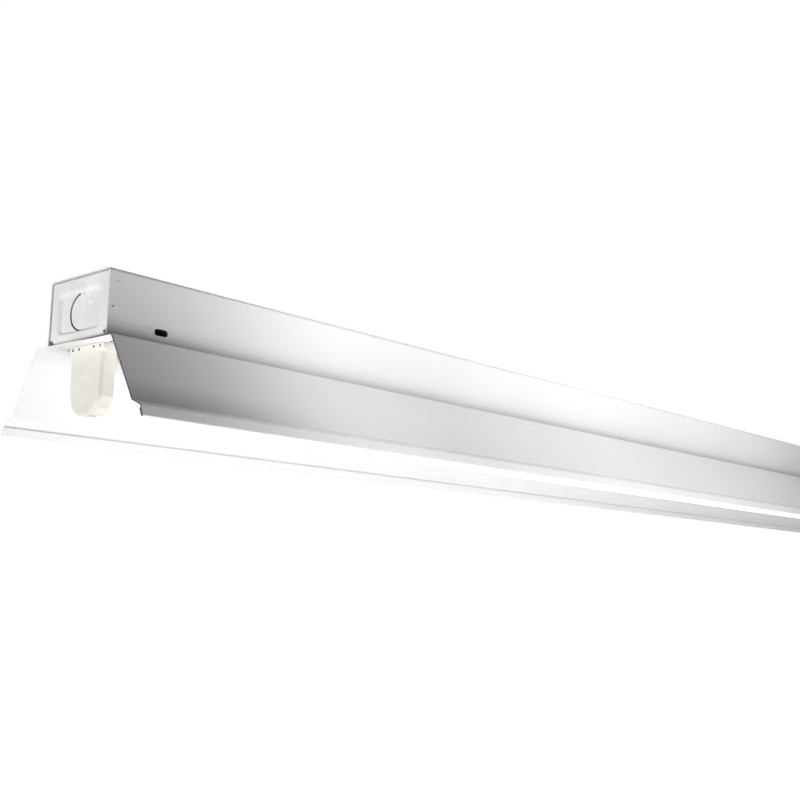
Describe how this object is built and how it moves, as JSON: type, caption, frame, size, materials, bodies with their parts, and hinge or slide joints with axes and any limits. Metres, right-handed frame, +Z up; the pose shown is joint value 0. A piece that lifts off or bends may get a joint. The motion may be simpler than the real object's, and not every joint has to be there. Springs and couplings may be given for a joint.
{
  "type": "led tube light fixture",
  "caption": "Ceiling strip light: steel channel with a flared one-piece reflector, lampholders at both ends and an LED tube that locks by a quarter turn.",
  "frame": {"origin": "middle of the flat top face that lies against the ceiling", "axes": "+X along the light, with the pictured end at -X; -Y is the front; +Z up to the ceiling"},
  "size_m": [1.2424, 0.135, 0.0862],
  "materials": {
    "channel_enamel": "satin white enamel",
    "plate_enamel": "satin white enamel",
    "reflector_enamel": "satin white enamel",
    "holder_plastic": "satin cream plastic",
    "cover_plastic": "satin cream plastic",
    "rotor_plastic": "smooth white plastic",
    "contact_bronze": "spring bronze",
    "zinc_steel": "bright zinc-plated steel",
    "tube_aluminium": "satin anodised",
    "lens_plastic": "opal polycarbonate",
    "board_white": "white solder mask",
    "led_phosphor": "yellow phosphor",
    "driver_board": "green board with parts",
    "cap_plastic": "smooth white plastic",
    "pin_brass": "bright brass",
    "screw_steel": "zinc-plated",
    "latch_plastic": "smooth white plastic",
    "block_plastic": "moulded nylon",
    "lead_black": "black insulation",
    "lead_white": "white insulation",
    "lead_green": "green insulation",
    "ring_brass": "tinned brass",
    "ground_screw_green": "green zinc",
    "clip_plastic": "natural nylon"
  },
  "bodies": {
    "housing": {"channel_housing": "channel_enamel", "end_plate_left": "plate_enamel", "end_plate_right": "plate_enamel", "reflector": "reflector_enamel", "lampholder_bracket_left": "zinc_steel", "lampholder_bracket_right": "zinc_steel", "lampholder_body_left": "holder_plastic", "lampholder_body_right": "holder_plastic", "lampholder_cover_left": "cover_plastic", "lampholder_cover_right": "cover_plastic", "lampholder_contacts_left": "contact_bronze", "lampholder_contacts_right": "contact_bronze", "latch_bridge_left": "zinc_steel", "latch_bridge_right": "zinc_steel", "terminal_block": "block_plastic", "line_lead": "lead_black", "neutral_lead": "lead_white", "ground_lead": "lead_green", "ground_ring": "ring_brass", "ground_screw": "ground_screw_green", "wire_clips": "clip_plastic"},
    "tube": {"tube_spine": "tube_aluminium", "tube_lens": "lens_plastic", "tube_led_board": "board_white", "tube_led_chips": "led_phosphor", "tube_driver": "driver_board", "tube_end_cap_left": "cap_plastic", "tube_end_cap_right": "cap_plastic", "tube_pins_left": "pin_brass", "tube_pins_right": "pin_brass", "tube_cap_screws": "screw_steel"},
    "rotor_left": {"lampholder_rotor_left": "rotor_plastic"},
    "rotor_right": {"lampholder_rotor_right": "rotor_plastic"},
    "latch_left": {"latch_left": "latch_plastic", "latch_retainer_left": "zinc_steel"},
    "latch_right": {"latch_right": "latch_plastic", "latch_retainer_right": "zinc_steel"}
  },
  "joints": [
    {"name": "tube_turn", "type": "hinge", "parent": "housing", "child": "tube", "pos_m": [0, 0, -0.0659], "axis": [1, 0, 0], "range_deg": [0, 90]},
    {"name": "rotor_left_turn", "type": "hinge", "parent": "housing", "child": "rotor_left", "pos_m": [-0.608, 0, -0.0659], "axis": [1, 0, 0], "range_deg": [0, 90]},
    {"name": "rotor_right_turn", "type": "hinge", "parent": "housing", "child": "rotor_right", "pos_m": [0.608, 0, -0.0659], "axis": [1, 0, 0], "range_deg": [0, 90]},
    {"name": "latch_left_turn", "type": "hinge", "parent": "housing", "child": "latch_left", "pos_m": [-0.369, 0, -0.0384], "axis": [0, 0, 1], "range_deg": [0, 90]},
    {"name": "latch_right_turn", "type": "hinge", "parent": "housing", "child": "latch_right", "pos_m": [0.369, 0, -0.0384], "axis": [0, 0, 1], "range_deg": [0, 90]}
  ],
  "couplings": [
    {"joint": "rotor_left_turn", "follows": "tube_turn", "ratio": 1},
    {"joint": "rotor_right_turn", "follows": "tube_turn", "ratio": 1}
  ]
}
